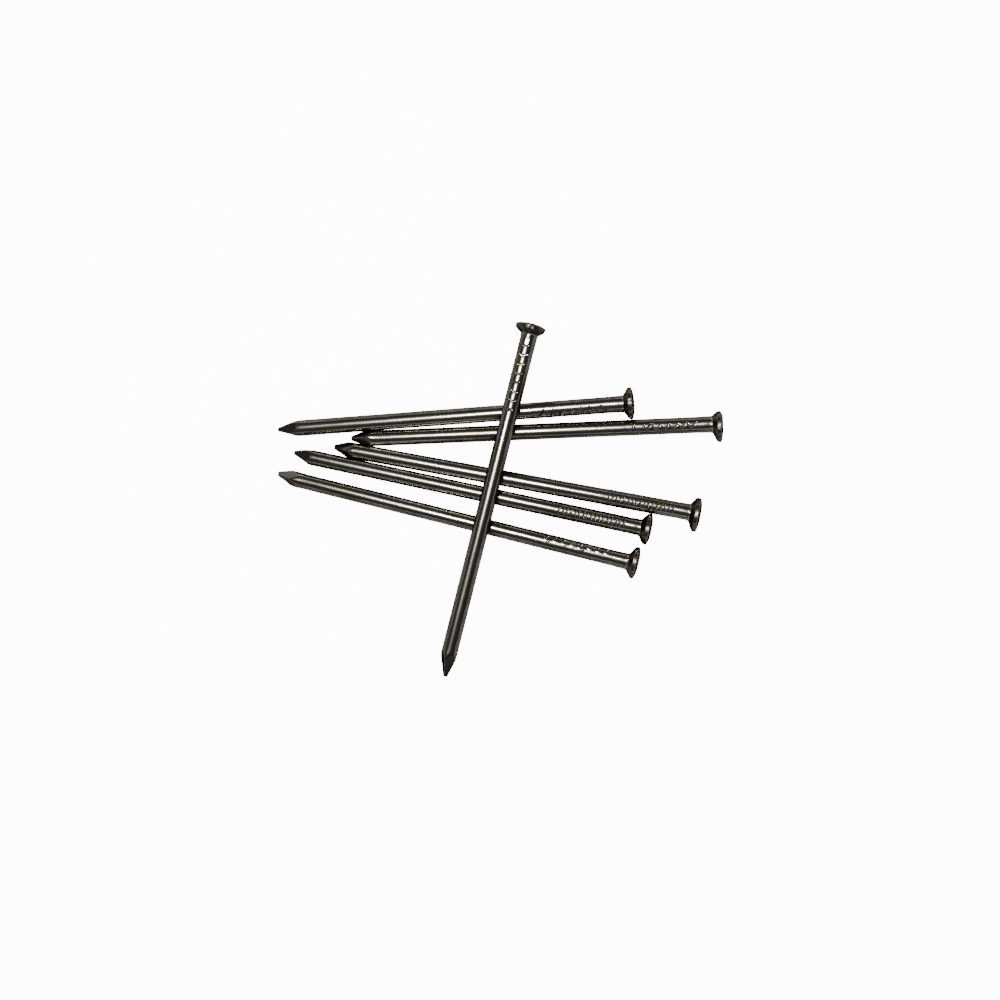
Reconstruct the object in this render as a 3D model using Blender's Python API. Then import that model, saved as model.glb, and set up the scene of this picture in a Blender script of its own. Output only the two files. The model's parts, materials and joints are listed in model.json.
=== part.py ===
"""Six loose model-railway track spikes, lying in a small pile on a flat surface.

Each spike is one piece of steel wire. One end is cold-headed into a countersunk head, the wire
below the head carries grip marks from the heading dies, and the other end is pinched to a
four-sided point. Five spikes lie side by side with their heads to +X, and one lies across them.

Metres, +Z up. The origin is at the centre of the pile's footprint, on the surface it lies on.
"""

import math
from typing import NamedTuple

import bmesh
import bpy
from mathutils import Vector

MM = 0.001

# Driving dimensions of one spike. Distances along it start at the blunt end of its point.
WIRE_RADIUS = 0.42 * MM
LAND_INSET = 0.38 * MM
CROWN_HEIGHT = 0.13 * MM
RIM_HEIGHT = 0.17 * MM
CONE_HEIGHT = 0.30 * MM
FILLET_HEIGHT = 0.08 * MM
NECK_RADIUS = WIRE_RADIUS + 0.05 * MM
POINT_LENGTH = 1.1 * MM
POINT_END_HALF_WIDTH = 0.11 * MM

# Grip marks, on two opposite sides of the wire
GRIP_COUNT = 8
GRIP_PITCH = 0.49 * MM
GRIP_LENGTH = 0.20 * MM
GRIP_DEPTH = 0.05 * MM
GRIP_BELOW_HEAD_FACE = 1.48 * MM
GRIP_HALF_ANGLE = math.radians(62.0)

SEGMENTS = 20
SHARP_ANGLE = math.radians(35.0)


class Spike(NamedTuple):
    """One spike and where it lies, in millimetres and degrees.

    The tip is the middle of the point's blunt end. Heading 0 has the head towards +X. Roll turns
    the grip marks and the point's facets, towards the left of the heading. Cold heading is never
    quite even, so the head's radius varies, and its middle stands to the left by head_shift.
    """

    name: str
    length: float
    tip_x: float
    tip_y: float
    heading: float
    roll: float
    head_radius: float
    head_shift: float


FLOOR_SPIKES = (
    Spike("back_spike", 19.76, -12.388, 3.920, 3.87, -30.0, 0.885, 0.0),
    Spike("back_inner_spike", 20.40, -8.273, 3.378, 2.03, -14.0, 0.86, -0.14),
    Spike("middle_spike", 20.47, -9.222, 2.936, -10.50, 12.0, 0.93, -0.07),
    Spike("front_inner_spike", 20.18, -11.486, 2.579, -12.06, -5.0, 0.87, 0.0),
    Spike("front_spike", 20.53, -12.393, 1.416, -13.85, 40.0, 0.885, 0.04),
)
CROSSING_SPIKE = Spike("crossing_spike", 19.69, -3.023, -9.566, 75.78, 4.0, 0.83, 0.04)

# The crossing spike rests on the back spike and on the front spike. Each place is measured from
# the tip of the spike it is on.
CROSSING_GAP = 0.03 * MM
BACK_SUPPORT = 13.01 * MM
FRONT_SUPPORT = 11.75 * MM
CROSSING_AT_BACK = 14.81 * MM
CROSSING_AT_FRONT = 8.42 * MM

PILE_CENTRE = Vector((0.148 * MM, -0.022 * MM, 0.0))

STEEL_COLOUR = (0.20, 0.195, 0.185, 1.0)
STEEL_ROUGHNESS = 0.28


def clear_scene():
    for obj in list(bpy.data.objects):
        bpy.data.objects.remove(obj, do_unlink=True)


def steel(name):
    """Bright-drawn steel wire."""
    material = bpy.data.materials.new(name)
    material.use_nodes = True
    shader = material.node_tree.nodes["Principled BSDF"]
    shader.inputs["Base Color"].default_value = STEEL_COLOUR
    shader.inputs["Metallic"].default_value = 1.0
    shader.inputs["Roughness"].default_value = STEEL_ROUGHNESS
    return material


def grip_share(angle):
    """How deep a grip mark is at an angle round the wire: 1 in its middle, 0 outside it."""
    edge = math.cos(GRIP_HALF_ANGLE)
    return max(0.0, (abs(math.cos(angle)) - edge) / (1.0 - edge))


def add_ring(mesh, distance, radius, shift=0.0):
    """A ring of points round the spike's axis, shifted sideways."""
    ring = []
    for index in range(SEGMENTS):
        angle = (index + 0.5) * math.tau / SEGMENTS
        side = shift - radius * math.sin(angle)
        ring.append(mesh.verts.new((distance, side, radius * math.cos(angle))))
    return ring


def add_mark(mesh, distance, roll):
    """A ring of points pressed in by the dies on two opposite sides of the wire."""
    ring = []
    for index in range(SEGMENTS):
        angle = (index + 0.5) * math.tau / SEGMENTS
        radius = WIRE_RADIUS - GRIP_DEPTH * grip_share(angle - roll)
        ring.append(mesh.verts.new((distance, -radius * math.sin(angle), radius * math.cos(angle))))
    return ring


def spike_rings(mesh, spike):
    """The spike's rings from the tip to the head face, before its point is cut."""
    length = spike.length * MM
    head_radius = spike.head_radius * MM
    shift = spike.head_shift * MM
    rings = [add_ring(mesh, 0.0, WIRE_RADIUS)]
    last_mark = length - GRIP_BELOW_HEAD_FACE - (GRIP_COUNT - 1) * GRIP_PITCH
    for index in range(GRIP_COUNT):
        middle = last_mark + index * GRIP_PITCH
        rings.append(add_ring(mesh, middle - GRIP_LENGTH / 2, WIRE_RADIUS))
        rings.append(add_mark(mesh, middle, math.radians(spike.roll)))
        rings.append(add_ring(mesh, middle + GRIP_LENGTH / 2, WIRE_RADIUS))
    rim_top = length - CROWN_HEIGHT
    rim_bottom = rim_top - RIM_HEIGHT
    neck = rim_bottom - CONE_HEIGHT
    rings.append(add_ring(mesh, neck - FILLET_HEIGHT, WIRE_RADIUS))
    rings.append(add_ring(mesh, neck, NECK_RADIUS))
    rings.append(add_ring(mesh, rim_bottom, head_radius, shift))
    rings.append(add_ring(mesh, rim_top, head_radius, shift))
    rings.append(add_ring(mesh, length, head_radius - LAND_INSET, shift))
    return rings


def skin_rings(mesh, rings):
    """Sides between the rings, and a flat cap on each end."""
    for near, far in zip(rings, rings[1:]):
        for index in range(SEGMENTS):
            after = (index + 1) % SEGMENTS
            mesh.faces.new((near[index], far[index], far[after], near[after]))
    mesh.faces.new(rings[0])
    mesh.faces.new(reversed(rings[-1]))


def cut_point(mesh, roll):
    """Four flat facets that slope from the wire's surface to the blunt end."""
    slope = WIRE_RADIUS - POINT_END_HALF_WIDTH
    for quarter in range(4):
        angle = roll + quarter * math.tau / 4
        side = Vector((0.0, -math.sin(angle), math.cos(angle)))
        bmesh.ops.bisect_plane(
            mesh,
            geom=mesh.verts[:] + mesh.edges[:] + mesh.faces[:],
            plane_co=side * POINT_END_HALF_WIDTH,
            plane_no=side * POINT_LENGTH - Vector((slope, 0.0, 0.0)),
            clear_outer=True,
        )
        open_edges = [edge for edge in mesh.edges if edge.is_boundary]
        bmesh.ops.holes_fill(mesh, edges=open_edges, sides=0)


def make_spike(spike):
    """One spike along its own +X axis, with its tip at its origin."""
    mesh = bmesh.new()
    skin_rings(mesh, spike_rings(mesh, spike))
    cut_point(mesh, math.radians(spike.roll))
    bmesh.ops.recalc_face_normals(mesh, faces=mesh.faces[:])
    data = bpy.data.meshes.new(spike.name)
    mesh.to_mesh(data)
    mesh.free()
    data.materials.append(steel(spike.name + "_steel"))
    data.shade_smooth()
    data.set_sharp_from_angle(angle=SHARP_ANGLE)
    body = bpy.data.objects.new(spike.name, data)
    bpy.context.scene.collection.objects.link(body)
    return body


def place(body, spike, pitch, tip_z):
    body.rotation_euler = (0.0, -pitch, math.radians(spike.heading))
    body.location = PILE_CENTRE + Vector((spike.tip_x * MM, spike.tip_y * MM, tip_z))


def resting_pitch(spike):
    """A floor spike's slope, from resting on its head's rim and on its point's shoulder."""
    span = spike.length * MM - CROWN_HEIGHT - POINT_LENGTH
    return math.asin((spike.head_radius * MM - WIRE_RADIUS) / span)


def resting_height(spike, distance):
    """The height of a floor spike's axis at a distance from its tip."""
    return WIRE_RADIUS + (distance - POINT_LENGTH) * math.sin(resting_pitch(spike))


def lay_on_floor(spike):
    body = make_spike(spike)
    place(body, spike, resting_pitch(spike), 0.0)
    bpy.context.view_layer.update()
    body.location.z = -min((body.matrix_world @ vertex.co).z for vertex in body.data.vertices)


def lay_across(spike, back, front):
    rise = 2 * WIRE_RADIUS + CROSSING_GAP
    over_back = resting_height(back, BACK_SUPPORT) + rise
    over_front = resting_height(front, FRONT_SUPPORT) + rise
    pitch = math.asin((over_back - over_front) / (CROSSING_AT_BACK - CROSSING_AT_FRONT))
    place(make_spike(spike), spike, pitch, over_front - CROSSING_AT_FRONT * math.sin(pitch))


clear_scene()
for floor_spike in FLOOR_SPIKES:
    lay_on_floor(floor_spike)
lay_across(CROSSING_SPIKE, FLOOR_SPIKES[0], FLOOR_SPIKES[-1])
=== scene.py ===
"""The looks of six loose track spikes: steel wire, cold-headed, gripped and pinched to a point.

Every spike replaces one CAD node and lies exactly where that node lies. Metres, +Z up.
"""

import json
import math
from typing import NamedTuple

import bpy
import numpy as np
from mathutils import Matrix, Vector


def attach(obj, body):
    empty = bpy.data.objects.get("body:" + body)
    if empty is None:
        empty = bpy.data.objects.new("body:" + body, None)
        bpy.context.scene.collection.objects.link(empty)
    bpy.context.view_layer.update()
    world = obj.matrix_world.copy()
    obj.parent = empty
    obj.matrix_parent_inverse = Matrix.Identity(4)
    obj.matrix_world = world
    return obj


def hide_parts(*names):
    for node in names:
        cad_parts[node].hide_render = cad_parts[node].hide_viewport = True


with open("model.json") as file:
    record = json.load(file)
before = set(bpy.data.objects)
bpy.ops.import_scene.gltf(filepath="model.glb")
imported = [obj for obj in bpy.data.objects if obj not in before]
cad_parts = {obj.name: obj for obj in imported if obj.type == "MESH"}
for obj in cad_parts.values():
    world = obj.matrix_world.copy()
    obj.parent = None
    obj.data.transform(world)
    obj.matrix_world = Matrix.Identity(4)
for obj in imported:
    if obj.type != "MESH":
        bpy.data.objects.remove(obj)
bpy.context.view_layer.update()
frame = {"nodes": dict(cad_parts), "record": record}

MM = 0.001
WIRE_RADIUS = 0.42 * MM
SEGMENTS = 112

# Ring spacing along the spike
POINT_STEP = 0.025 * MM
SHANK_STEP = 0.16 * MM
GRIP_STEP = 0.0155 * MM
RING_MARGIN = 0.35 * MM
CONE_RINGS = 34
RIM_RINGS = 8
CROWN_RINGS = 18

# The wire: a little uneven, and slightly thicker behind the point
THICKNESS_WANDER = 0.003
THICKNESS_WANDER_LENGTH = 3.0 * MM
OUT_OF_ROUND = 0.0015 * MM
OUT_OF_ROUND_LENGTH = 9.0 * MM
THICKENING_LENGTH = 1.5 * MM

# The head, measured down from the middle of its crown
CROWN_HEIGHT = 0.135 * MM
RIM_BOTTOM = 0.33 * MM
CONE_BOTTOM = 0.62 * MM
NECK_START = 0.88 * MM
FILLET_SOFTNESS = 0.035 * MM
RIM_BEVEL = 0.030 * MM
RIM_TAPER = 0.030 * MM
CONE_TOP_INSET = 0.039 * MM
CROWN_FLATNESS = 3.2
CROWN_EDGE_SPREADS = (0.990, 0.976, 0.958, 0.936, 0.91)
CROWN_INNER_SPREAD = 0.88
RIM_WANDER = 0.010
CONE_MIDDLE = 0.47 * MM
CONE_REACH = 0.14 * MM
WRINKLE_DEPTH = 0.036 * MM
FIN_HEIGHT = 0.05 * MM
FIN_HALF_ANGLE = math.radians(6.0)
NICK_COUNT = 5
NICK_DEPTH = 0.018 * MM
NICK_HALF_ANGLE = 0.09
NICK_REACH = 0.12 * MM
HEAD_TILT = 0.014 * MM
NECK_REACH = 0.40 * MM
NECK_FLAT = 0.012 * MM
NECK_SWELL = 0.018 * MM
NECK_SHARE_LIMIT = 0.15

# Painted highlights and painted shade on the head, and where its dull forged finish ends
CROWN_EDGE_HIGHLIGHT_REACH = 0.025 * MM
CONE_FOOT_HIGHLIGHT_REACH = 0.04 * MM
CONE_SHADE = 0.5
CONE_SHADE_REACH = 0.10 * MM
FACE_SHADE = 0.6
FACE_SHADE_START = 0.9
FACE_SHADE_FADE = 0.1
FORGED_MARGIN = 0.05 * MM
FORGED_FADE = 0.08 * MM

# The point
POINT_END_HALF_WIDTH = 0.095 * MM
POINT_EDGE_SHARPNESS = 30.0
# Painted highlight along the point's four edges
POINT_EDGE_HIGHLIGHT = 0.8
POINT_EDGE_HIGHLIGHT_HALF_ANGLE = 0.12
FACET_LENGTH_RANGE = (0.93, 1.07)
FACET_WIDTH_RANGE = (0.92, 1.08)
FACET_TURN_SCATTER = 0.03
FACET_HOLLOW = 0.010 * MM
FACET_FACING_LIMIT = 0.15
PINCH_BULGE = 0.022 * MM
PINCH_HALF_ANGLE = 0.40
PINCH_MIDDLE = 0.95
PINCH_REACH = 0.22
TIP_CAPS = ((0.0, 0.0), (0.45, 0.0), (0.8, 0.004 * MM), (0.95, 0.014 * MM))
TIP_ROUNDING = 0.024 * MM

# Grip marks: the dies' teeth press straight into the wire and push up a lip or a burr
MARK_DEPTH = 0.060 * MM
MARK_DEPTH_RANGE = (0.75, 1.15)
MARK_LENGTH_RANGE = (0.7, 1.3)
MARK_BETWEEN_LENGTH = 0.55
MARK_FLAT = 0.045 * MM
MARK_RAMP = 0.095 * MM
MARK_WALL = 0.024 * MM
MARK_BOW = 0.55 * MM
MARK_TURN_SCATTER = 0.08
MARK_PLACE_SCATTER = 0.018
MARK_SLANT_SCATTER = 0.05
MARK_WOBBLE = 0.012 * MM
MARK_WOBBLE_ORDER = 5.0
MARK_SHARE_LIMIT = 0.02
FACING_LIMIT = 0.3
LIP_HEIGHT = 0.0042 * MM
LIP_HEIGHT_RANGE = (0.6, 1.2)
LIP_LENGTH = 0.022 * MM
LIP_HALF_ANGLE = math.radians(40.0)
LIP_FLATNESS_GAIN = 3.2
LIP_LARGEST_GAIN = 1.2
BURR_HALF_LENGTH = 0.145 * MM
BURR_HALF_ANGLE = math.radians(19.0)
BURR_THICKNESS = 0.30
BURR_HEIGHT_RANGE = (0.7, 1.1)
CUT_SOFTNESS = 0.3
# Painted highlight on the marks' burrs, lips and cut faces, and painted shade in the cuts beside
# the tooth's wall
BURR_HIGHLIGHT = 0.6
LIP_HIGHLIGHT = 0.4
CUT_HIGHLIGHT = 0.3
CUT_SHADE_REACH = 0.6

# The dies squeeze the wire slightly oval, and a seam stands up where they meet
PRESS_DEPTH = 0.005 * MM
PRESS_FADE = 0.3 * MM
PRESS_MARGIN = 0.25
SEAM_HEIGHT = 0.008 * MM
SEAM_HALF_ANGLE = 0.16

# Colours of the steel, and noise scales in features per metre: along the wire, then across it
STEEL = (0.214, 0.202, 0.184, 1.0)
DULL = (0.098, 0.090, 0.074, 1.0)
OIL = (0.200, 0.170, 0.065, 1.0)
VIOLET = (0.180, 0.112, 0.165, 1.0)
# Paler steel, painted on as a highlight
PAINTED_HIGHLIGHT_COLOUR = (0.40, 0.39, 0.37, 1.0)
# Dark of the pits, also used as painted shade in hollows and on the head
DARK_PITS_AND_PAINTED_SHADE = (0.030, 0.027, 0.023, 1.0)
GRAZING_TINT = (0.11, 0.105, 0.10, 1.0)
DRAWING_LINES = (260.0, 42000.0, 42000.0)
FINE_DRAWING_LINES = (700.0, 110000.0, 110000.0)
DULL_PATCHES = (520.0, 1500.0, 1500.0)
TINT_PATCHES = (900.0, 2600.0, 2600.0)
PITS = (21000.0, 26000.0, 26000.0)
SEED_OFFSET = (0.0137, 0.0071, 0.0053)
RELIEF_STRENGTH = 0.14
RELIEF_HEIGHT = 0.0035 * MM

# Floor, world and camera
WHITE = (1.0, 1.0, 1.0, 1.0)
FLOOR_COLOUR = (0.50, 0.50, 0.50, 1.0)
FLOOR_HALF_WIDTH = 400.0 * MM
FLOOR_DROP = 0.004 * MM
CAMERA_WHITE = 12.0
WORLD_LIGHT = 0.10
AIM = Vector((0.148 * MM, -0.022 * MM, 0.8 * MM))
CAMERA_DISTANCE = 90.0 * MM
CAMERA_TILT_RIGHT = math.radians(4.5)
CAMERA_TILT_FRONT = math.radians(1.0)
VIEW_WIDTH = 54.6 * MM
SENSOR_WIDTH = 36.0


class Light(NamedTuple):
    """A rectangular light that faces the spikes. Lengths in millimetres."""

    name: str
    place: tuple
    length: float
    width: float
    radiance: float


LIGHTS = (
    Light("key", (-9.0, 12.0, 80.0), 13.0, 10.0, 255.0),
    Light("front_strip", (0.0, -120.0, 50.0), 260.0, 15.0, 2.0),
    Light("back_strip", (0.0, 120.0, 20.0), 260.0, 16.0, 2.0),
    Light("left_strip", (-120.0, 0.0, 40.0), 260.0, 14.0, 1.6),
    Light("right_strip", (120.0, 0.0, 25.0), 260.0, 14.0, 1.6),
)


class Look(NamedTuple):
    """What differs from one spike to the next. Lengths in millimetres, angles in degrees.

    Angles run from the top of the lying spike towards the left of its heading. The first mark is
    measured from the head's middle. A second set of marks stands halfway between the others, at
    mark_between of their strength. Flatness 1 is a tooth with a straight edge, and below 1 the
    marks are round, with mark_length and mark_reach as their half sizes.
    """

    node: str
    seed: int
    thickness: float
    mark_count: int
    first_mark: float
    mark_pitch: float
    mark_roll: float
    mark_strength: float
    fin: float
    point_roll: float
    point_length: float
    point_shift: float = 0.0
    mark_slant: float = 0.0
    mark_between: float = 0.0
    mark_flatness: float = 1.0
    mark_length: float = 0.0
    mark_reach: float = 0.0
    mark_burr: float = 0.0
    neck_flat: float = 0.0


LOOKS = (
    Look(
        node="back_spike",
        seed=11,
        thickness=1.06,
        mark_count=8,
        first_mark=1.50,
        mark_pitch=0.51,
        mark_roll=-34.0,
        mark_strength=0.95,
        mark_slant=0.20,
        mark_between=0.6,
        mark_flatness=0.6,
        mark_length=0.055,
        mark_reach=46.0,
        fin=0.8,
        point_roll=1.0,
        point_length=1.06,
    ),
    Look(
        node="back_inner_spike",
        seed=23,
        thickness=1.04,
        mark_count=8,
        first_mark=1.62,
        mark_pitch=0.48,
        mark_roll=-16.0,
        mark_strength=0.80,
        mark_slant=0.20,
        mark_between=0.8,
        mark_flatness=0.5,
        mark_length=0.050,
        mark_reach=42.0,
        fin=0.7,
        point_roll=-36.0,
        point_length=1.10,
        point_shift=0.04,
    ),
    Look(
        node="middle_spike",
        seed=37,
        thickness=1.05,
        mark_count=9,
        first_mark=1.52,
        mark_pitch=0.44,
        mark_roll=4.0,
        mark_strength=0.48,
        mark_slant=-0.07,
        mark_between=0.9,
        mark_flatness=0.3,
        mark_length=0.046,
        mark_reach=34.0,
        fin=2.2,
        point_roll=32.0,
        point_length=1.06,
        point_shift=0.03,
    ),
    Look(
        node="front_inner_spike",
        seed=41,
        thickness=1.03,
        mark_count=9,
        first_mark=1.52,
        mark_pitch=0.45,
        mark_roll=2.0,
        mark_strength=0.48,
        mark_slant=0.02,
        mark_between=0.9,
        mark_flatness=0.2,
        mark_length=0.046,
        mark_reach=32.0,
        fin=0.9,
        point_roll=6.0,
        point_length=0.98,
        point_shift=0.07,
    ),
    Look(
        node="front_spike",
        seed=59,
        thickness=1.02,
        mark_count=8,
        first_mark=1.82,
        mark_pitch=0.47,
        mark_roll=33.0,
        mark_strength=0.80,
        mark_flatness=0.3,
        mark_length=0.075,
        mark_reach=20.0,
        mark_burr=0.017,
        fin=0.8,
        point_roll=37.0,
        point_length=1.16,
        point_shift=0.08,
    ),
    Look(
        node="crossing_spike",
        seed=67,
        thickness=1.07,
        mark_count=8,
        first_mark=1.34,
        mark_pitch=0.505,
        mark_roll=4.0,
        mark_strength=1.10,
        neck_flat=1.0,
        fin=1.3,
        point_roll=-28.0,
        point_length=1.22,
        point_shift=-0.09,
    ),
)


# ---------------------------------------------------------------- places, from the frame


class Place(NamedTuple):
    """Where a CAD spike lies: its own axes, its length and what its head measures."""

    matrix: Matrix
    length: float
    head_radius: float
    head_shift: float


def place_of(node):
    """A node's place, from its head face in the record and from its mesh."""
    mount_name = node.replace("_spike", "_head_face")
    mount = next(m for m in frame["record"]["mounts"] if m["name"] == mount_name)
    axis = Vector(mount["axis"]).normalized()
    left = Vector((0.0, 0.0, 1.0)).cross(axis).normalized()
    above = axis.cross(left)
    points = np.array([vertex.co for vertex in frame["nodes"][node].data.vertices])
    along = points @ np.array(axis)
    end = np.unique(points[along < along.min() + 0.001 * MM].round(8), axis=0)
    tip = Vector(end.mean(axis=0))
    reach = Vector(mount["pos_m"]) - tip
    head = points[along > along.max() - CONE_BOTTOM] - np.array(mount["pos_m"])
    sideways = np.hypot(head @ np.array(left), head @ np.array(above))
    matrix = Matrix.Translation(tip) @ Matrix((axis, left, above)).transposed().to_4x4()
    return Place(matrix, reach.dot(axis), float(sideways.max()), reach.dot(left))


# ---------------------------------------------------------------- the shape of a spike


def waves(angles, rng, count, first=2):
    """A smooth irregularity round a ring, between about -1 and 1."""
    total = np.zeros_like(angles)
    for order in range(first, first + count):
        total += rng.normal() * np.cos(order * angles + rng.uniform(0, math.tau)) / order
    return total


def bump(offset, width):
    return np.exp(-((offset / width) ** 2))


def turned_from(angles, centre):
    """The angle from centre, between -180 and 180 degrees."""
    return (angles - centre + math.pi) % math.tau - math.pi


def soft_step(value):
    value = np.clip(value, 0.0, 1.0)
    return value * value * (3.0 - 2.0 * value)


def ring_distances(look, place):
    """Where the rings of the point, the shank and the grip marks stand."""
    shoulder = look.point_length * MM + RING_MARGIN
    last_mark = place.length - (look.first_mark + (look.mark_count - 1) * look.mark_pitch) * MM
    grip_start = last_mark - RING_MARGIN
    neck = place.length - NECK_START
    stretches = []
    for start, end, step in (
        (0.0, shoulder, POINT_STEP),
        (shoulder, grip_start, SHANK_STEP),
        (grip_start, neck, GRIP_STEP),
    ):
        stretches.append(np.linspace(start, end, round((end - start) / step), endpoint=False))
    return np.concatenate(stretches)


def head_profile(place):
    """The head's outline, as distances below its middle and radii, from the neck to its middle."""
    radius = place.head_radius
    cone = np.linspace(NECK_START, RIM_BOTTOM + RIM_BEVEL, CONE_RINGS)
    slope = (radius - RIM_TAPER - WIRE_RADIUS) / (CONE_BOTTOM - RIM_BOTTOM)
    rise = (CONE_BOTTOM - cone) / FILLET_SOFTNESS
    cone_radii = WIRE_RADIUS + slope * FILLET_SOFTNESS * np.logaddexp(0.0, rise)
    cone_radii = np.minimum(cone_radii, radius - CONE_TOP_INSET)
    rim = np.linspace(RIM_BOTTOM, CROWN_HEIGHT + RIM_BEVEL, RIM_RINGS)
    rim_radii = np.linspace(radius - RIM_TAPER, radius, RIM_RINGS)
    inner = np.linspace(CROWN_INNER_SPREAD, 0.0, CROWN_RINGS)
    spread = np.concatenate((CROWN_EDGE_SPREADS, inner))
    crown = CROWN_HEIGHT * spread**CROWN_FLATNESS
    below = np.concatenate((cone, rim, crown))
    return below, np.concatenate((cone_radii, rim_radii, spread * radius))


def teeth_of(look):
    """The dies' teeth, as places in units of the pitch, and strengths."""
    teeth = [(index, look.mark_strength) for index in range(look.mark_count)]
    if look.mark_between:
        between = look.mark_strength * look.mark_between
        teeth += [(index + 0.5, between) for index in range(look.mark_count - 1)]
    return teeth


def grip_marks(look, place, distance, angle, radius, rng):
    """The wire's radius after the dies' teeth, where a highlight is painted on the marks, and
    where shade is painted in their hollows.
    """
    painted_highlight = np.zeros(np.broadcast(distance, angle).shape)
    painted_shade = np.zeros_like(painted_highlight)
    lip = LIP_HEIGHT * min(LIP_LARGEST_GAIN, LIP_FLATNESS_GAIN * look.mark_flatness**2)
    for side in (0.0, math.pi):
        for index, strength in teeth_of(look):
            is_between = bool(index % 1)
            roll = math.radians(look.mark_roll) + side + rng.normal(0.0, MARK_TURN_SCATTER)
            away = turned_from(angle, roll)
            facing = np.cos(away)
            middle = place.length - (look.first_mark + index * look.mark_pitch) * MM
            middle += rng.normal(0.0, MARK_PLACE_SCATTER) * MM
            depth = MARK_DEPTH * strength * rng.uniform(*MARK_DEPTH_RANGE)
            slant = look.mark_slant * (-1.0 if is_between else 1.0)
            slant = (slant + rng.normal(0.0, MARK_SLANT_SCATTER)) * MM
            wobble = MARK_WOBBLE * rng.normal()
            wobble = wobble * np.cos(MARK_WOBBLE_ORDER * away + rng.uniform(0.0, math.tau))
            ahead = distance - middle - MARK_BOW * (1.0 - facing) - slant * np.sin(away) + wobble
            length = rng.uniform(*MARK_LENGTH_RANGE) * (MARK_BETWEEN_LENGTH if is_between else 1.0)
            if look.mark_flatness < 1.0:
                reach = math.radians(look.mark_reach)
                window = soft_step((reach - np.abs(away)) / (0.5 * reach))
                pressed = bump(ahead, look.mark_length * MM) * window
            else:
                wall = soft_step((ahead + MARK_WALL) / MARK_WALL)
                ramp = soft_step((ahead - MARK_FLAT * length) / (MARK_RAMP * length))
                pressed = wall * (1.0 - ramp)
            limit = WIRE_RADIUS - depth * pressed
            limit = limit / np.maximum(facing, FACING_LIMIT) ** look.mark_flatness
            tooth = (facing > FACING_LIMIT) & (pressed > MARK_SHARE_LIMIT)
            cut = np.clip((radius - limit) / (CUT_SOFTNESS * depth), 0.0, 1.0) * tooth
            radius = np.where(tooth, np.minimum(radius, limit), radius)
            lip_share = soft_step((LIP_HALF_ANGLE - np.abs(away)) / (0.5 * LIP_HALF_ANGLE))
            crest = lip_share * bump(ahead + MARK_WALL + LIP_LENGTH, LIP_LENGTH) * (facing > 0.0)
            height = lip * min(strength, 1.0) * rng.uniform(*LIP_HEIGHT_RANGE)
            radius = radius + height * crest
            if look.mark_burr:
                from_middle = np.hypot(ahead / BURR_HALF_LENGTH, away / BURR_HALF_ANGLE)
                burr = bump(from_middle - 1.0, BURR_THICKNESS) * rng.uniform(*BURR_HEIGHT_RANGE)
                radius = radius + look.mark_burr * MM * burr
                # Painted highlight on the burr's rim
                painted_highlight = painted_highlight + BURR_HIGHLIGHT * burr
            # Painted highlight on the lip and on the cut face
            painted_highlight = painted_highlight + LIP_HIGHLIGHT * crest + CUT_HIGHLIGHT * cut
            # Painted shade at the foot of the tooth's wall, in the mark's hollow
            painted_shade = painted_shade + cut * bump(ahead, CUT_SHADE_REACH * MARK_WALL)
    return radius, np.clip(painted_highlight, 0.0, 1.0), np.clip(painted_shade, 0.0, 1.0)


def point_radius(look, radius, distance, angle, rng):
    """The wire cut back to four pinched facets, and how much of each facet shows."""
    facets = []
    for quarter in range(4):
        slope_length = look.point_length * rng.uniform(*FACET_LENGTH_RANGE) * MM
        facing = math.radians(look.point_roll + 90.0 * quarter)
        facing = facing + rng.normal(0.0, FACET_TURN_SCATTER)
        toward = np.cos(turned_from(angle, facing))
        rise = (WIRE_RADIUS - POINT_END_HALF_WIDTH) * distance / slope_length
        hollow = FACET_HOLLOW * np.sin(np.clip(distance / slope_length, 0.0, 1.0) * math.pi)
        plane = POINT_END_HALF_WIDTH * rng.uniform(*FACET_WIDTH_RANGE) + rise - hollow
        seen = toward > FACET_FACING_LIMIT
        facets.append(np.where(seen, plane / np.maximum(toward, FACET_FACING_LIMIT), 1.0))
    inverse = sum((WIRE_RADIUS / facet) ** POINT_EDGE_SHARPNESS for facet in facets)
    round_part = (WIRE_RADIUS / radius) ** POINT_EDGE_SHARPNESS
    cut = WIRE_RADIUS * (inverse + round_part) ** (-1.0 / POINT_EDGE_SHARPNESS)
    return cut, inverse / (inverse + round_part)


def from_corners(look, angle):
    """The angle from each of the point's four edges."""
    for corner in range(4):
        yield turned_from(angle, math.radians(look.point_roll + 45.0 + 90.0 * corner))


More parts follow.
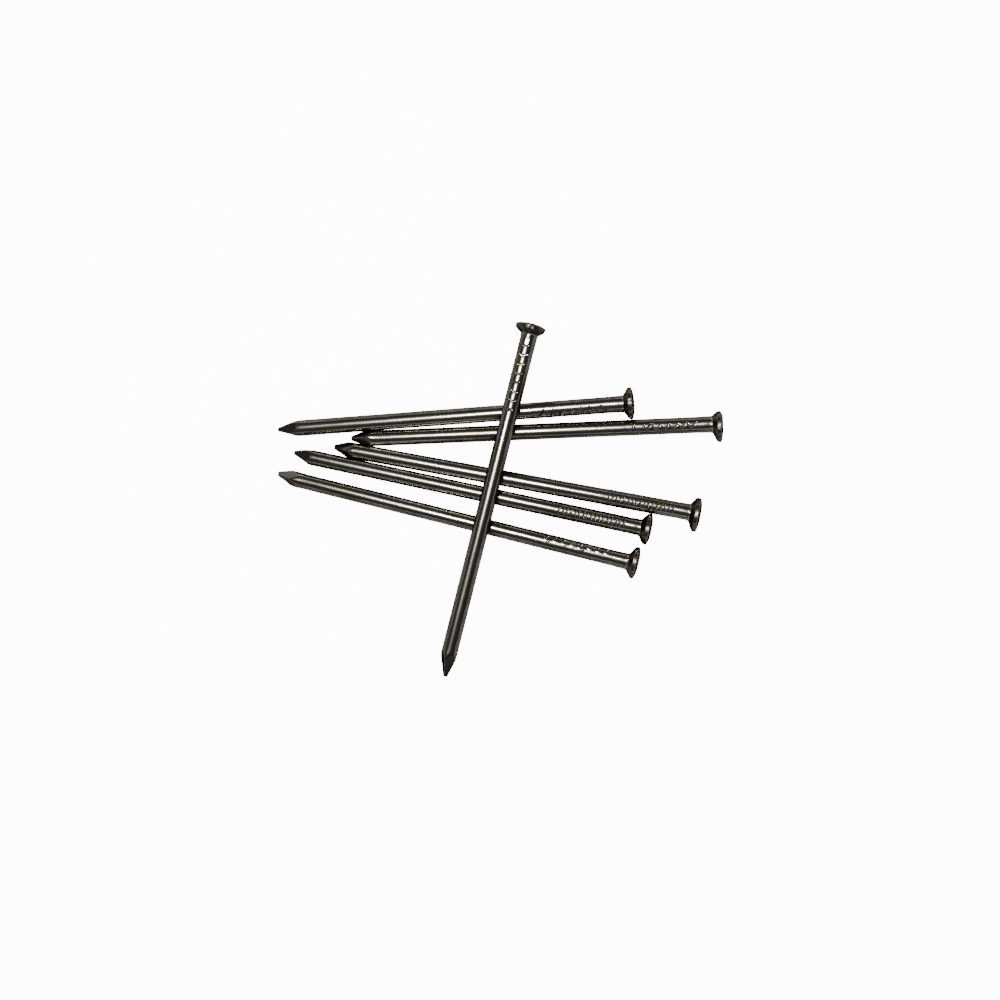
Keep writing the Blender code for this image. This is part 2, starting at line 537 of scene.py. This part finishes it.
def body_shape(look, place, body, angle, rng):
    """The radii of the point, shank and neck, with the painted-highlight, painted-shade and facet
    shares.
    """
    radius = waves(body / THICKNESS_WANDER_LENGTH + 0.0 * angle, rng, 5, 1)
    radius = WIRE_RADIUS * (1.0 + THICKNESS_WANDER * radius)
    radius = radius + OUT_OF_ROUND * waves(angle + body / OUT_OF_ROUND_LENGTH, rng, 6, 3)

    shoulder = look.point_length * MM
    near_shoulder = bump(body - PINCH_MIDDLE * shoulder, PINCH_REACH * shoulder)
    for away in from_corners(look, angle):
        swell = bump(away, PINCH_HALF_ANGLE) * near_shoulder
        radius = radius + PINCH_BULGE * rng.uniform(0.3, 1.0) * swell

    first = place.length - (look.first_mark - PRESS_MARGIN) * MM
    last = place.length - (look.first_mark + look.mark_count * look.mark_pitch) * MM
    pressed = soft_step((body - last) / PRESS_FADE) * soft_step((first - body) / PRESS_FADE)
    from_die = turned_from(angle, math.radians(look.mark_roll))
    radius = radius - PRESS_DEPTH * pressed * np.cos(2.0 * from_die)
    radius, painted_highlight, painted_shade = grip_marks(look, place, body, angle, radius, rng)
    seam = bump(np.abs(turned_from(2.0 * from_die, math.pi)), SEAM_HALF_ANGLE)
    radius = radius + SEAM_HEIGHT * pressed * seam

    near_neck = bump(body - (place.length - NECK_START), NECK_REACH)
    radius = radius + NECK_SWELL * near_neck
    flat = WIRE_RADIUS + (NECK_SWELL - NECK_FLAT * look.neck_flat) * near_neck
    flat = flat / np.maximum(np.cos(angle), FACING_LIMIT) ** look.neck_flat
    on_flat = (np.cos(angle) > FACING_LIMIT) & (near_neck > NECK_SHARE_LIMIT)
    radius = np.where(on_flat, np.minimum(radius, flat), radius)

    radius = radius * (1.0 + (look.thickness - 1.0) * soft_step(body / THICKENING_LENGTH))
    radius, facet = point_radius(look, radius, body, angle, rng)
    # Painted highlight along the point's edges
    for away in from_corners(look, angle):
        painted_highlight = painted_highlight + POINT_EDGE_HIGHLIGHT * facet * bump(away, POINT_EDGE_HIGHLIGHT_HALF_ANGLE)
    return radius, painted_highlight, painted_shade, facet


def head_shape(look, place, angle, rng):
    """The head's distances from the tip, its radii, its share of the rim, and its shares.

    It is uneven round its rim, with a fin under it where the dies meet.
    """
    below, radii = head_profile(place)
    rim_share = soft_step((radii - WIRE_RADIUS) / (place.head_radius - WIRE_RADIUS))[:, None]
    below = below[:, None]
    radii = radii[:, None]
    on_face = below < CROWN_HEIGHT
    head = radii * (1.0 + RIM_WANDER * waves(angle, rng, 5) * rim_share)

    from_seam = turned_from(2.0 * (angle - math.radians(look.mark_roll)), math.pi) / 2.0
    on_cone = bump(below - CONE_MIDDLE, CONE_REACH)
    head = head + look.fin * FIN_HEIGHT * bump(from_seam, FIN_HALF_ANGLE) * on_cone
    head = head + WRINKLE_DEPTH * waves(angle, rng, 9, 5) * on_cone

    nicks = np.zeros_like(angle)
    for _ in range(NICK_COUNT):
        size = rng.uniform(0.3, 1.0)
        nicks = nicks + size * bump(turned_from(angle, rng.uniform(0, math.tau)), NICK_HALF_ANGLE)
    on_rim = bump(below - 0.5 * (RIM_BOTTOM + CROWN_HEIGHT), NICK_REACH) * (~on_face)
    head = head - NICK_DEPTH * nicks * on_rim
    collar = bump(below - NECK_START, NECK_REACH) * (below > CONE_BOTTOM)
    head = head + (NECK_SWELL + (look.thickness - 1.0) * WIRE_RADIUS) * soft_step(collar)
    tilt = HEAD_TILT * waves(angle, rng, 3, 1) * rim_share * (below < CONE_BOTTOM)
    distance = place.length - below + np.minimum(tilt, 0.0) + 0.0 * angle

    # Painted highlights at the crown's edge and at the foot of the cone
    painted_highlight = bump(below - CROWN_HEIGHT, CROWN_EDGE_HIGHLIGHT_REACH)
    painted_highlight = painted_highlight + bump(below - CONE_BOTTOM, CONE_FOOT_HIGHLIGHT_REACH)
    # Painted shade on the cone under the head and on the crown's face
    painted_shade = CONE_SHADE * bump(below - 0.5 * (CONE_BOTTOM + RIM_BOTTOM), CONE_SHADE_REACH)
    inside = soft_step((FACE_SHADE_START - radii / place.head_radius) / FACE_SHADE_FADE)
    painted_shade = painted_shade + FACE_SHADE * inside * on_face
    forged = soft_step((CONE_BOTTOM + FORGED_MARGIN - below) / FORGED_FADE)
    shares = [np.broadcast_to(share, head.shape) for share in (painted_highlight, painted_shade, forged)]
    return distance, head, rim_share[:, 0], shares


def shape_of(look, place):
    """Every point of the spike in its own axes, with the painted-highlight, painted-shade and dull
    shares.
    """
    rng = np.random.default_rng(look.seed)
    distance = ring_distances(look, place)
    angle = np.arange(SEGMENTS)[None, :] * math.tau / SEGMENTS
    body = distance[:, None]
    radius, *body_shares = body_shape(look, place, body, angle, rng)
    head_distance, head, rim_share, head_shares = head_shape(look, place, angle, rng)

    along = np.concatenate((body + 0.0 * angle, head_distance))
    radii = np.concatenate((radius, head))
    shoulder = look.point_length * MM
    lean = look.point_shift * MM * np.clip(1.0 - distance / shoulder, 0.0, 1.0)
    shift = np.concatenate((lean, place.head_shift * rim_share))[:, None]
    points = np.stack((along, shift + radii * np.sin(angle), radii * np.cos(angle)), axis=-1)
    return points, [np.concatenate(pair) for pair in zip(body_shares, head_shares)]


def close_tip(points, shares):
    """A few smaller rings in front of the first one, which round off the blunt end."""
    first = points[0]
    middle = first.mean(axis=0)
    caps = []
    for scale, forward in TIP_CAPS:
        cap = middle + (first - middle) * scale
        cap[:, 0] = forward
        caps.append(cap)
    points = points.copy()
    points[0, :, 0] += TIP_ROUNDING
    points = np.concatenate((np.stack(caps), points))
    repeats = [np.repeat(share[:1], len(caps), axis=0) for share in shares]
    return points, [np.concatenate(pair) for pair in zip(repeats, shares)]


def skin(rows, segments):
    """Faces over rows of points, closed by one point before the first row and one after."""
    index = 1 + np.arange(rows * segments).reshape(rows, segments)
    after = np.roll(index, -1, axis=1)
    corners = (index[:-1], after[:-1], after[1:], index[1:])
    faces = np.stack(corners, axis=-1).reshape(-1, 4).tolist()
    end = rows * segments + 1
    faces += [[0, b, a] for a, b in zip(index[0].tolist(), after[0].tolist())]
    faces += [[end, a, b] for a, b in zip(index[-1].tolist(), after[-1].tolist())]
    return faces


def make_spike(look, place, material):
    """One spike's mesh, where its CAD node lies and not below the surface it lies on."""
    points, shares = shape_of(look, place)
    points, shares = close_tip(points, shares)
    rings, segments = points.shape[:2]
    inner = points[1:-1].reshape(-1, 3)
    first_ring = points[0].mean(axis=0)
    last_ring = points[-1].mean(axis=0)
    vertices = np.concatenate((first_ring[None], inner, last_ring[None]))
    turned = vertices @ np.array(place.matrix.to_3x3()).T + np.array(place.matrix.translation)
    turned[:, 2] = np.maximum(turned[:, 2], 0.0)
    mesh = bpy.data.meshes.new(look.node + "_detail")
    mesh.from_pydata(turned.tolist(), [], skin(rings - 2, segments))
    own_place = mesh.attributes.new("own_place", "FLOAT_VECTOR", "POINT")
    own_place.data.foreach_set("vector", vertices.astype(np.float32).ravel())
    for name, share in zip(("painted_highlight", "painted_shade", "dull"), shares):
        values = np.concatenate((share[0, :1], share[1:-1].ravel(), share[-1, :1]))
        attribute = mesh.attributes.new(name, "FLOAT", "POINT")
        attribute.data.foreach_set("value", values.astype(np.float32))
    mesh.materials.append(material)
    mesh.shade_smooth()
    piece = bpy.data.objects.new(look.node + "_detail", mesh)
    bpy.context.scene.collection.objects.link(piece)
    return piece


# ---------------------------------------------------------------- the steel


class Nodes:
    """Adds shader nodes and links to a material or a world."""

    def __init__(self, owner):
        self.tree = owner.node_tree

    def add(self, kind, **settings):
        node = self.tree.nodes.new(kind)
        for name, value in settings.items():
            setattr(node, name, value)
        return node

    def link(self, source, target):
        self.tree.links.new(source, target)

    def noise(self, vector, scale, detail, roughness=0.5):
        """Noise over coordinates stretched by scale, in features per metre along each axis."""
        stretch = self.add("ShaderNodeMapping")
        stretch.inputs["Scale"].default_value = scale
        self.link(vector, stretch.inputs["Vector"])
        noise = self.add("ShaderNodeTexNoise")
        noise.inputs["Scale"].default_value = 1.0
        noise.inputs["Detail"].default_value = detail
        noise.inputs["Roughness"].default_value = roughness
        self.link(stretch.outputs["Vector"], noise.inputs["Vector"])
        return noise.outputs["Fac"]

    def remap(self, value, low, high, to_low, to_high):
        node = self.add("ShaderNodeMapRange")
        self.link(value, node.inputs["Value"])
        node.inputs["From Min"].default_value = low
        node.inputs["From Max"].default_value = high
        node.inputs["To Min"].default_value = to_low
        node.inputs["To Max"].default_value = to_high
        return node.outputs["Result"]

    def math(self, operation, first, second):
        node = self.add("ShaderNodeMath", operation=operation)
        for socket, value in zip(node.inputs, (first, second)):
            if isinstance(value, float):
                socket.default_value = value
            else:
                self.link(value, socket)
        return node.outputs["Value"]

    def mix(self, share, first, second):
        node = self.add("ShaderNodeMix", data_type="RGBA")
        self.link(share, node.inputs["Factor"])
        for socket, value in ((node.inputs[6], first), (node.inputs[7], second)):
            if isinstance(value, tuple):
                socket.default_value = value
            else:
                self.link(value, socket)
        return node.outputs[2]

    def attribute(self, name, output="Fac"):
        return self.add("ShaderNodeAttribute", attribute_name=name).outputs[output]

    def is_camera_ray(self):
        return self.add("ShaderNodeLightPath").outputs["Is Camera Ray"]


def drawn_steel(name, seed):
    """Bright-drawn wire under a thin film of oil: drawing lines, pits, tints, painted highlights
    and painted shade.
    """
    material = bpy.data.materials.new(name)
    material.use_nodes = True
    nodes = Nodes(material)
    shader = material.node_tree.nodes["Principled BSDF"]
    shader.inputs["Metallic"].default_value = 1.0
    shader.inputs["Specular Tint"].default_value = GRAZING_TINT
    moved = nodes.add("ShaderNodeVectorMath", operation="ADD")
    moved.inputs[1].default_value = [seed * offset for offset in SEED_OFFSET]
    nodes.link(nodes.attribute("own_place", "Vector"), moved.inputs[0])
    place = moved.outputs["Vector"]

    lines = nodes.noise(place, DRAWING_LINES, 3.0)
    fine_lines = nodes.noise(place, FINE_DRAWING_LINES, 2.0)
    patches = nodes.noise(place, DULL_PATCHES, 4.0, 0.6)
    tint_patches = nodes.noise(place, TINT_PATCHES, 3.0, 0.6)
    specks = nodes.noise(place, PITS, 2.0)
    pits = nodes.remap(specks, 0.66, 0.74, 0.0, 1.0)
    dull = nodes.attribute("dull")
    painted_highlight = nodes.attribute("painted_highlight")
    painted_shade = nodes.attribute("painted_shade")

    colour = nodes.mix(nodes.remap(patches, 0.42, 0.68, 0.0, 1.0), STEEL, DULL)
    colour = nodes.mix(nodes.remap(tint_patches, 0.54, 0.72, 0.0, 0.75), colour, OIL)
    colour = nodes.mix(nodes.remap(tint_patches, 0.42, 0.28, 0.0, 0.6), colour, VIOLET)
    colour = nodes.mix(nodes.remap(lines, 0.40, 0.62, 0.0, 0.35), colour, DULL)
    colour = nodes.mix(nodes.remap(dull, 0.3, 0.9, 0.0, 0.8), colour, DULL)
    # Painted highlight: paler steel on the point's edges, the crown's edge, the cone's foot and
    # the grip marks
    colour = nodes.mix(nodes.remap(painted_highlight, 0.3, 1.0, 0.0, 0.7), colour, PAINTED_HIGHLIGHT_COLOUR)
    # Painted shade: darker in the marks' hollows, on the cone under the head and on the crown's
    # face
    colour = nodes.mix(nodes.remap(painted_shade, 0.2, 1.0, 0.0, 0.8), colour, DARK_PITS_AND_PAINTED_SHADE)
    colour = nodes.mix(nodes.math("MULTIPLY", pits, 0.6), colour, DARK_PITS_AND_PAINTED_SHADE)
    nodes.link(colour, shader.inputs["Base Color"])

    rough = nodes.remap(patches, 0.3, 0.7, 0.16, 0.24)
    rough = nodes.math("ADD", rough, nodes.remap(lines, 0.3, 0.7, -0.03, 0.05))
    rough = nodes.math("ADD", rough, nodes.remap(dull, 0.3, 1.0, 0.0, 0.05))
    rough = nodes.math("ADD", rough, nodes.remap(painted_shade, 0.2, 1.0, 0.0, 0.25))
    nodes.link(rough, shader.inputs["Roughness"])

    height = nodes.remap(lines, 0.25, 0.75, 0.0, 1.0)
    height = nodes.math("ADD", height, nodes.math("MULTIPLY", fine_lines, 0.35))
    height = nodes.math("ADD", height, nodes.math("MULTIPLY", patches, 1.2))
    height = nodes.math("SUBTRACT", height, nodes.math("MULTIPLY", pits, 0.9))
    relief = nodes.add("ShaderNodeBump")
    relief.inputs["Strength"].default_value = RELIEF_STRENGTH
    relief.inputs["Distance"].default_value = RELIEF_HEIGHT
    nodes.link(height, relief.inputs["Height"])
    nodes.link(relief.outputs["Normal"], shader.inputs["Normal"])
    return material


# ---------------------------------------------------------------- floor, light and camera


def make_floor():
    """A white floor, overexposed to the camera. The spikes mirror it without the overexposure."""
    half = FLOOR_HALF_WIDTH
    mesh = bpy.data.meshes.new("floor")
    corners = [(-half, -half, 0.0), (half, -half, 0.0), (half, half, 0.0), (-half, half, 0.0)]
    mesh.from_pydata(corners, [], [(0, 1, 2, 3)])
    floor = bpy.data.objects.new("floor", mesh)
    floor.location.z = -FLOOR_DROP
    bpy.context.scene.collection.objects.link(floor)
    material = bpy.data.materials.new("floor_white")
    material.use_nodes = True
    shader = material.node_tree.nodes["Principled BSDF"]
    shader.inputs["Base Color"].default_value = FLOOR_COLOUR
    shader.inputs["Roughness"].default_value = 1.0
    shader.inputs["Specular IOR Level"].default_value = 0.0
    shader.inputs["Emission Color"].default_value = WHITE
    nodes = Nodes(material)
    glow = nodes.math("MULTIPLY", nodes.is_camera_ray(), CAMERA_WHITE)
    nodes.link(glow, shader.inputs["Emission Strength"])
    mesh.materials.append(material)


def make_world():
    """A dim studio, which the camera itself sees as the same white as the floor."""
    world = bpy.data.worlds.new("studio")
    world.use_nodes = True
    background = world.node_tree.nodes["Background"]
    background.inputs["Color"].default_value = WHITE
    nodes = Nodes(world)
    strength = nodes.remap(nodes.is_camera_ray(), 0.0, 1.0, WORLD_LIGHT, CAMERA_WHITE)
    nodes.link(strength, background.inputs["Strength"])
    bpy.context.scene.world = world


def make_light(light):
    """A rectangular lamp, equally bright whatever its size."""
    data = bpy.data.lights.new(light.name, "AREA")
    data.shape = "RECTANGLE"
    data.size = light.length * MM
    data.size_y = light.width * MM
    data.energy = light.radiance * math.pi * data.size * data.size_y
    lamp = bpy.data.objects.new(light.name, data)
    lamp.location = Vector(light.place) * MM
    lamp.rotation_euler = (AIM - lamp.location).to_track_quat("-Z", "Y").to_euler()
    bpy.context.scene.collection.objects.link(lamp)


def make_camera():
    """The camera, almost straight above the spikes."""
    data = bpy.data.cameras.new("camera")
    data.clip_start = 1.0 * MM
    data.clip_end = 10.0
    data.sensor_width = SENSOR_WIDTH
    data.lens = SENSOR_WIDTH * CAMERA_DISTANCE / VIEW_WIDTH
    camera = bpy.data.objects.new("camera", data)
    back = Vector((math.tan(CAMERA_TILT_RIGHT), -math.tan(CAMERA_TILT_FRONT), 1.0)).normalized()
    right = Vector((0.0, 1.0, 0.0)).cross(back).normalized()
    up = back.cross(right)
    turn = Matrix((right, up, back)).transposed().to_4x4()
    camera.matrix_world = Matrix.Translation(AIM + back * CAMERA_DISTANCE) @ turn
    bpy.context.scene.collection.objects.link(camera)
    bpy.context.scene.camera = camera


make_camera()
make_world()
make_floor()
for light in LIGHTS:
    make_light(light)

for look in LOOKS:
    piece = make_spike(look, place_of(look.node), drawn_steel(look.node + "_steel", look.seed))
    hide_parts(look.node)
    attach(piece, look.node)
